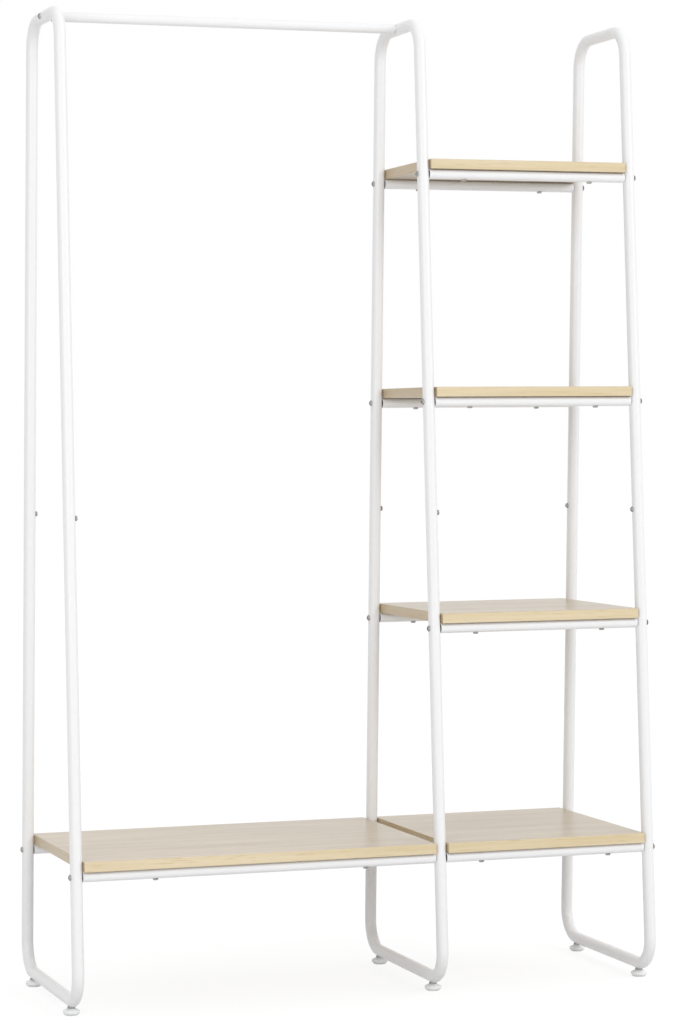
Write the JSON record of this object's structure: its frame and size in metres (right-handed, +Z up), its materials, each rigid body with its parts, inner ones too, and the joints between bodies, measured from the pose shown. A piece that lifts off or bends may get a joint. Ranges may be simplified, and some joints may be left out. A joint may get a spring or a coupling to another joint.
{
  "type": "coat rack",
  "caption": "Free-standing coat rack of bent steel tube with tapered loop frames, a hanging rail over a long low board, a column of wooden shelves beside it, and levelling feet.",
  "frame": {"origin": "on the floor under the middle of the rack's bounding box", "axes": "+X along the width, from the hanging bay to the shelf column; +Y to the back; +Z up"},
  "size_m": [0.9764, 0.3674, 1.559],
  "materials": {
    "powder_coated_steel": "white powder coat, semi-gloss",
    "oak_board": "light oak grain foil on particle board, matt, with pale edge bands",
    "nickel_plated_steel": "nickel plated",
    "zinc_plated_steel": "bright zinc plated",
    "white_plastic": "moulded, satin"
  },
  "bodies": {
    "rack": {"left_lower_frame": "powder_coated_steel", "left_upper_frame": "powder_coated_steel", "left_leg_splices": "powder_coated_steel", "left_foot_nuts": "zinc_plated_steel", "middle_lower_frame": "powder_coated_steel", "middle_upper_frame": "powder_coated_steel", "middle_leg_splices": "powder_coated_steel", "middle_foot_nuts": "zinc_plated_steel", "right_lower_frame": "powder_coated_steel", "right_upper_frame": "powder_coated_steel", "right_leg_splices": "powder_coated_steel", "right_foot_nuts": "zinc_plated_steel", "hanging_rail": "powder_coated_steel", "rail_end_plugs": "zinc_plated_steel", "rail_bolts": "nickel_plated_steel", "left_frame_bolts": "nickel_plated_steel", "middle_frame_bolts": "nickel_plated_steel", "right_frame_bolts": "nickel_plated_steel", "splice_screws": "nickel_plated_steel", "middle_frame_studs": "zinc_plated_steel", "long_shelf_board": "oak_board", "long_shelf_front_bar": "powder_coated_steel", "long_shelf_rear_bar": "powder_coated_steel", "long_shelf_bar_plugs": "zinc_plated_steel", "long_shelf_screws": "nickel_plated_steel", "bottom_shelf_board": "oak_board", "bottom_shelf_front_bar": "powder_coated_steel", "bottom_shelf_rear_bar": "powder_coated_steel", "bottom_shelf_bar_plugs": "zinc_plated_steel", "bottom_shelf_screws": "nickel_plated_steel", "second_shelf_board": "oak_board", "second_shelf_front_bar": "powder_coated_steel", "second_shelf_rear_bar": "powder_coated_steel", "second_shelf_bar_plugs": "zinc_plated_steel", "second_shelf_screws": "nickel_plated_steel", "third_shelf_board": "oak_board", "third_shelf_front_bar": "powder_coated_steel", "third_shelf_rear_bar": "powder_coated_steel", "third_shelf_bar_plugs": "zinc_plated_steel", "third_shelf_screws": "nickel_plated_steel", "top_shelf_board": "oak_board", "top_shelf_front_bar": "powder_coated_steel", "top_shelf_rear_bar": "powder_coated_steel", "top_shelf_bar_plugs": "zinc_plated_steel", "top_shelf_screws": "nickel_plated_steel"},
    "left_front_foot": {"left_front_foot_pad": "white_plastic", "left_front_foot_stem": "zinc_plated_steel"},
    "left_rear_foot": {"left_rear_foot_pad": "white_plastic", "left_rear_foot_stem": "zinc_plated_steel"},
    "middle_front_foot": {"middle_front_foot_pad": "white_plastic", "middle_front_foot_stem": "zinc_plated_steel"},
    "middle_rear_foot": {"middle_rear_foot_pad": "white_plastic", "middle_rear_foot_stem": "zinc_plated_steel"},
    "right_front_foot": {"right_front_foot_pad": "white_plastic", "right_front_foot_stem": "zinc_plated_steel"},
    "right_rear_foot": {"right_rear_foot_pad": "white_plastic", "right_rear_foot_stem": "zinc_plated_steel"}
  },
  "joints": [
    {"name": "left_front_foot_height", "type": "slide", "parent": "rack", "child": "left_front_foot", "axis": [0, 0, -1], "range_m": [0, 0.01]},
    {"name": "left_rear_foot_height", "type": "slide", "parent": "rack", "child": "left_rear_foot", "axis": [0, 0, -1], "range_m": [0, 0.01]},
    {"name": "middle_front_foot_height", "type": "slide", "parent": "rack", "child": "middle_front_foot", "axis": [0, 0, -1], "range_m": [0, 0.01]},
    {"name": "middle_rear_foot_height", "type": "slide", "parent": "rack", "child": "middle_rear_foot", "axis": [0, 0, -1], "range_m": [0, 0.01]},
    {"name": "right_front_foot_height", "type": "slide", "parent": "rack", "child": "right_front_foot", "axis": [0, 0, -1], "range_m": [0, 0.01]},
    {"name": "right_rear_foot_height", "type": "slide", "parent": "rack", "child": "right_rear_foot", "axis": [0, 0, -1], "range_m": [0, 0.01]}
  ]
}
